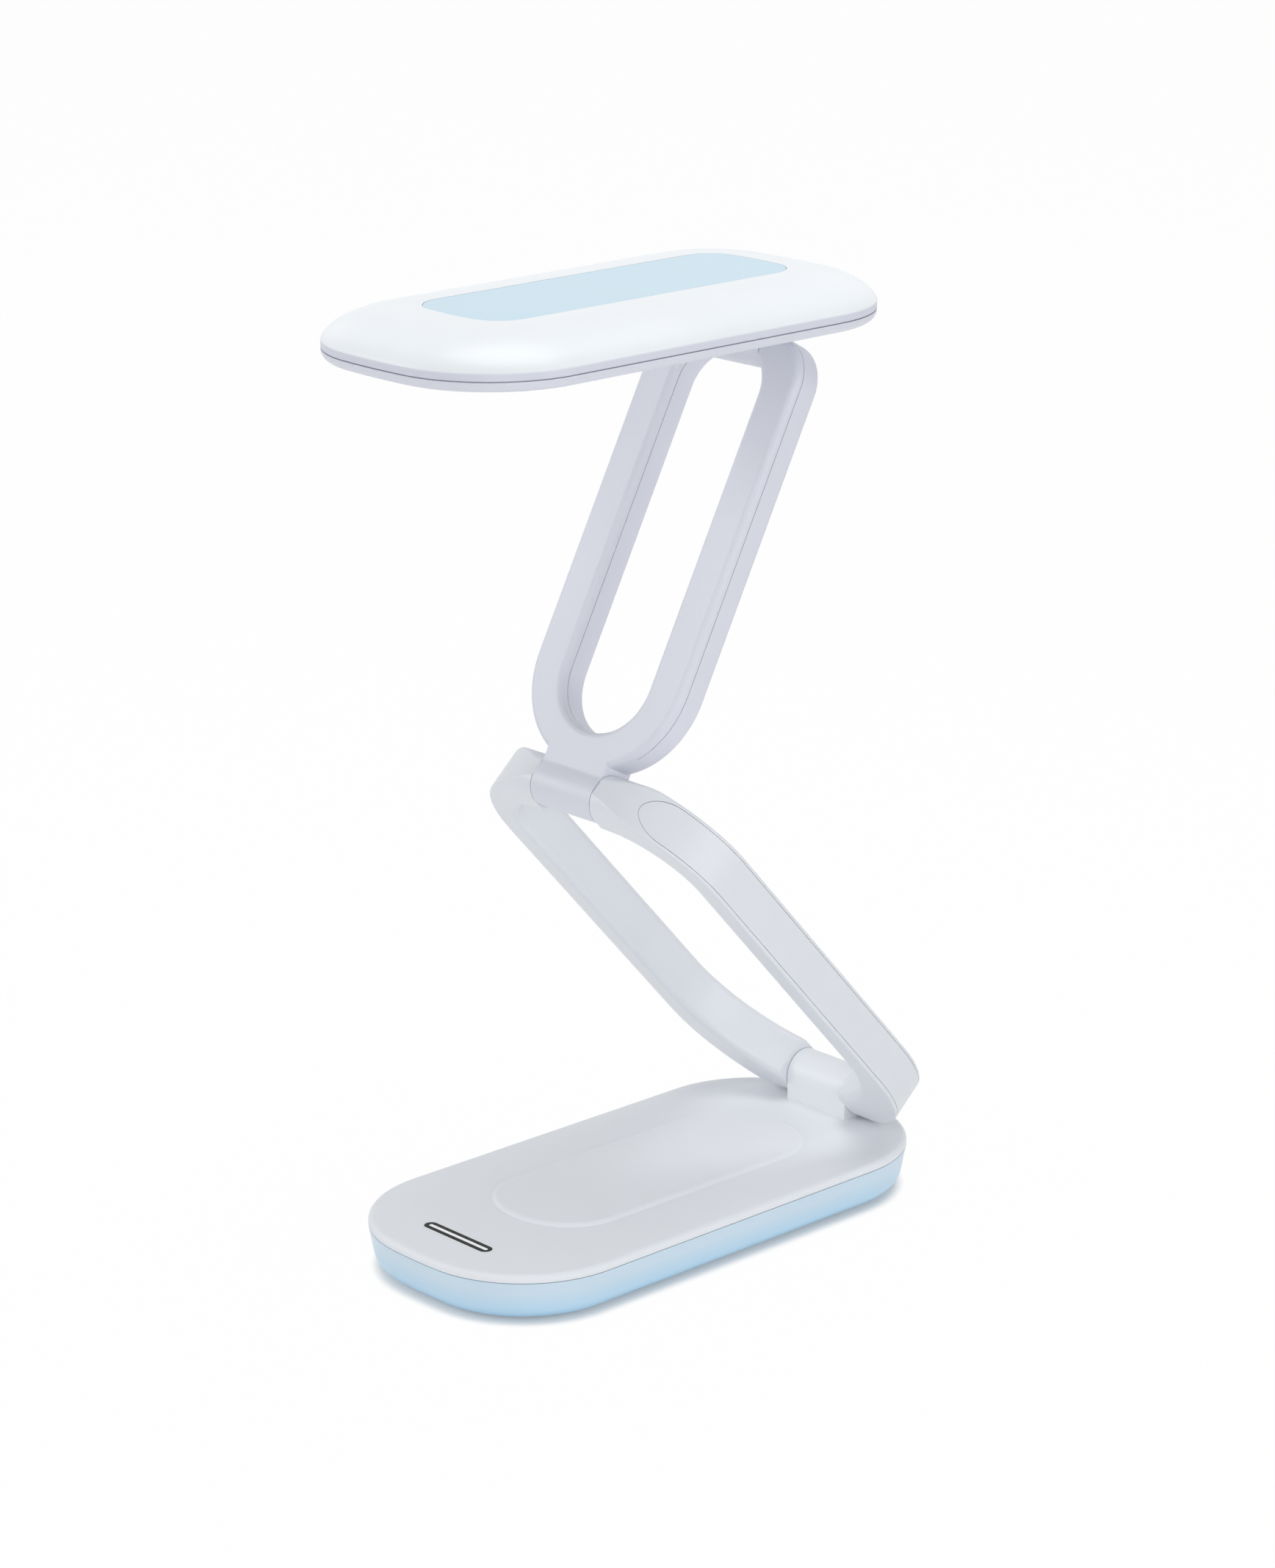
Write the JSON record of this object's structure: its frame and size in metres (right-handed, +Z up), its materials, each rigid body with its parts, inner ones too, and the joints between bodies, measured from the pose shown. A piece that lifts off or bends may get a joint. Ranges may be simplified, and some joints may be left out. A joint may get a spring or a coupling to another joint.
{
  "type": "folding desk lamp",
  "caption": "Folding desk lamp: a broad oblong base, an open lower arm, a ring-shaped upper arm that folds inside it, and a level oblong lamp head.",
  "frame": {"origin": "centre of the base's footprint on the table", "axes": "+Z up, +Y to the rear of the base where its hinge is, -Y to the front with the touch bar, and every hinge axis along X"},
  "size_m": [0.094, 0.1968, 0.2971],
  "materials": {
    "white_plastic": "satin white moulding",
    "arm_plastic": "satin cool white moulding",
    "blue_plastic": "satin pale blue moulding",
    "panel_plastic": "satin very pale blue insert",
    "bright_chrome": "polished plating",
    "contact_brass": "turned",
    "soft_rubber": "matt",
    "screw_steel": "zinc plated",
    "hinge_steel": "ground",
    "hinge_nylon": "moulded friction washer",
    "circuit_board": "green solder mask",
    "weight_iron": "sheared plate",
    "battery_wrap": "shrink wrap",
    "wire_sleeve": "white sleeve",
    "frosted_lens": "frosted milk white",
    "reflector_plastic": "white tray",
    "lamp_board": "white faced metal core",
    "lamp_chip": "yellow phosphor"
  },
  "bodies": {
    "base": {"base_bottom_shell": "blue_plastic", "base_top_cover": "white_plastic", "touch_bar": "bright_chrome", "touch_contact": "contact_brass", "rubber_pad": "soft_rubber", "base_screws": "screw_steel", "control_board": "circuit_board", "charge_board": "circuit_board", "charging_socket": "screw_steel", "counterweight": "weight_iron", "battery": "battery_wrap", "base_hinge_washers": "hinge_nylon"},
    "lower_arm": {"lower_arm_right": "arm_plastic", "lower_arm_left": "arm_plastic", "lower_arm_right_inlay": "arm_plastic", "lower_arm_left_inlay": "arm_plastic", "lower_arm_wire": "wire_sleeve", "base_hinge_pin": "hinge_steel", "elbow_pin": "hinge_steel"},
    "upper_arm": {"upper_arm_front_shell": "arm_plastic", "upper_arm_rear_shell": "arm_plastic", "upper_arm_wire": "wire_sleeve", "upper_arm_screws": "screw_steel", "head_hinge_pin": "hinge_steel", "elbow_washers": "hinge_nylon"},
    "head": {"head_top_shell": "white_plastic", "head_panel": "panel_plastic", "head_bottom_frame": "white_plastic", "diffuser": "frosted_lens", "reflector": "reflector_plastic", "led_board": "lamp_board", "leds": "lamp_chip", "head_screws": "screw_steel", "head_hinge_washers": "hinge_nylon"}
  },
  "joints": [
    {"name": "base_hinge", "type": "hinge", "parent": "base", "child": "lower_arm", "pos_m": [0, 0.0834, 0.0244], "axis": [1, 0, 0], "range_deg": [-35, 47.2]},
    {"name": "elbow", "type": "hinge", "parent": "lower_arm", "child": "upper_arm", "pos_m": [0, -0.02668, 0.14623], "axis": [-1, 0, 0], "range_deg": [-40, 109.9]},
    {"name": "head_hinge", "type": "hinge", "parent": "upper_arm", "child": "head", "pos_m": [0, 0.04055, 0.27267], "axis": [1, 0, 0], "range_deg": [-22.6, 62.01]}
  ],
  "couplings": [
    {"joint": "head_hinge", "follows": "elbow", "ratio": 0.56415}
  ]
}
